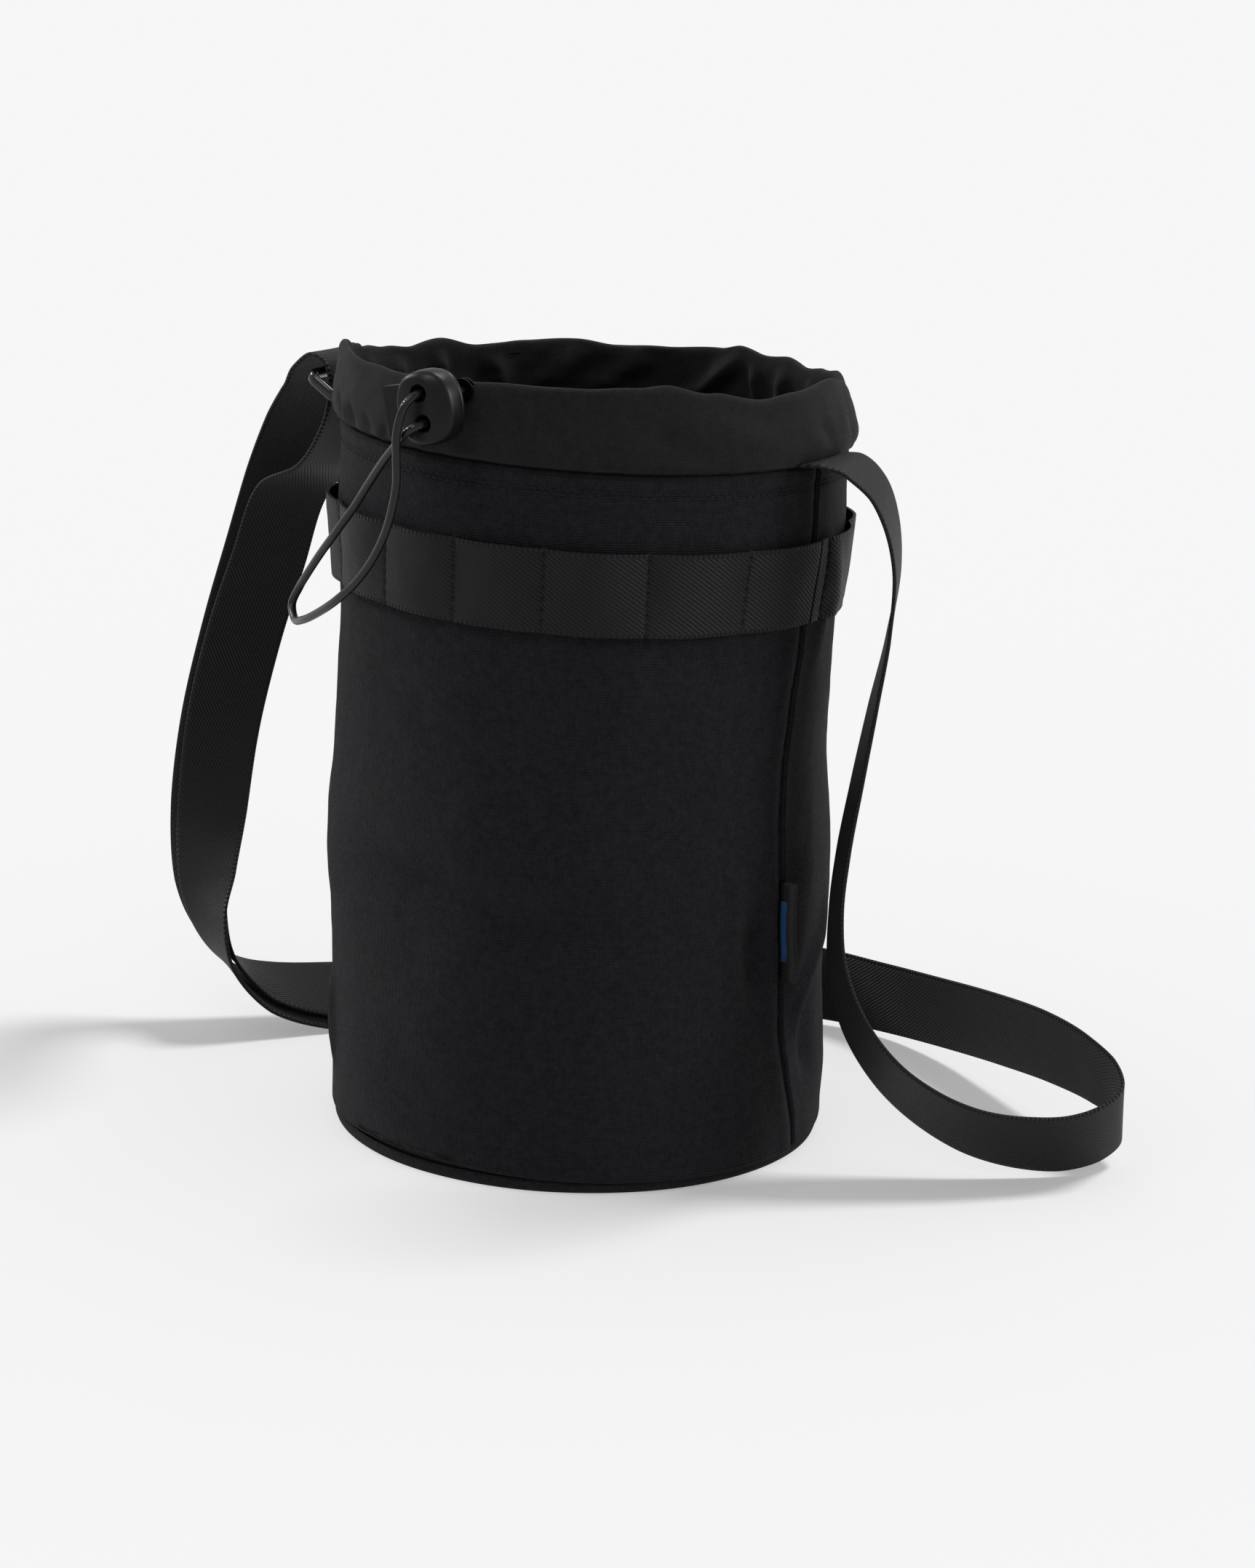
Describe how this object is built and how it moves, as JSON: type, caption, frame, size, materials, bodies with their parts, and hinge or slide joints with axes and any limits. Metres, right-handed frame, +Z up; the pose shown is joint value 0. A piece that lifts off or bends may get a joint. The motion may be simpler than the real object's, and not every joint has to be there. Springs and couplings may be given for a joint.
{
  "type": "rope storage bag",
  "caption": "Upright round rope bag with a drawcord collar and cord lock, a stitched band of ladder webbing and an adjustable webbing shoulder strap.",
  "frame": {"origin": "middle of the base, on the surface the bag stands on", "axes": "+Z up out of the mouth; -Y front, where the cord lock hangs; +X the side seam where the shoulder strap is sewn in, -X the seam with the strap ring"},
  "size_m": [0.407, 0.2787, 0.3011],
  "materials": {
    "pack_cloth": "matt coarse plain weave",
    "nylon": "fine plain weave, slight sheen",
    "webbing": "flat woven webbing, satin",
    "cord_cover": "braided, satin",
    "label_tape": "woven label tape",
    "binding": "woven binding tape",
    "board": "plain sheet",
    "lock_plastic": "satin moulded",
    "ring_plastic": "gloss moulded",
    "spring_steel": "drawn wire",
    "black_brass": "black enamel"
  },
  "bodies": {
    "bag": {"front_panel": "pack_cloth", "back_panel": "pack_cloth", "top_hem": "pack_cloth", "base_panel": "pack_cloth", "base_stiffener": "board", "lining_base": "nylon", "lining_wall": "nylon", "base_binding": "binding", "seam_binding_right": "binding", "seam_binding_left": "binding", "ladder_webbing_front": "webbing", "ladder_webbing_back": "webbing", "woven_label": "label_tape", "collar_front": "nylon", "collar_back": "nylon", "cord_eyelet_left": "black_brass", "cord_eyelet_right": "black_brass", "channel_cord_left": "cord_cover", "channel_cord_right": "cord_cover", "cord_crimp": "spring_steel", "exit_strand_upper": "cord_cover", "exit_strand_lower": "cord_cover", "ring_tab": "webbing", "shoulder_strap": "webbing", "strap_return": "webbing"},
    "cord_lock": {"cord_lock_body": "lock_plastic", "cord_lock_spring": "spring_steel", "drawcord_loop": "cord_cover"},
    "plunger": {"cord_lock_plunger": "lock_plastic"},
    "ring": {"strap_ring": "ring_plastic"},
    "slider": {"strap_slider": "lock_plastic"}
  },
  "joints": [
    {"name": "cord_lock_slide", "type": "slide", "parent": "bag", "child": "cord_lock", "axis": [0, -1, 0], "range_m": [0, 0.03], "deforming": ["exit_strand_upper", "exit_strand_lower"]},
    {"name": "plunger_press", "type": "slide", "parent": "cord_lock", "child": "plunger", "axis": [0.9781, 0, 0.2079], "range_m": [0, 0.0035], "stiffness_N_per_m": 400, "springref_m": -0.004, "deforming": ["cord_lock_spring"]},
    {"name": "ring_swing", "type": "hinge", "parent": "bag", "child": "ring", "pos_m": [-0.1045, 0, 0.2675], "axis": [0, 1, 0], "range_deg": [-35, 12], "stiffness_Nm_per_rad": 0.01},
    {"name": "slider_slide", "type": "slide", "parent": "bag", "child": "slider", "axis": [-0.8, -0.6, 0], "range_m": [-0.012, 0.012], "deforming": ["strap_return"]}
  ]
}
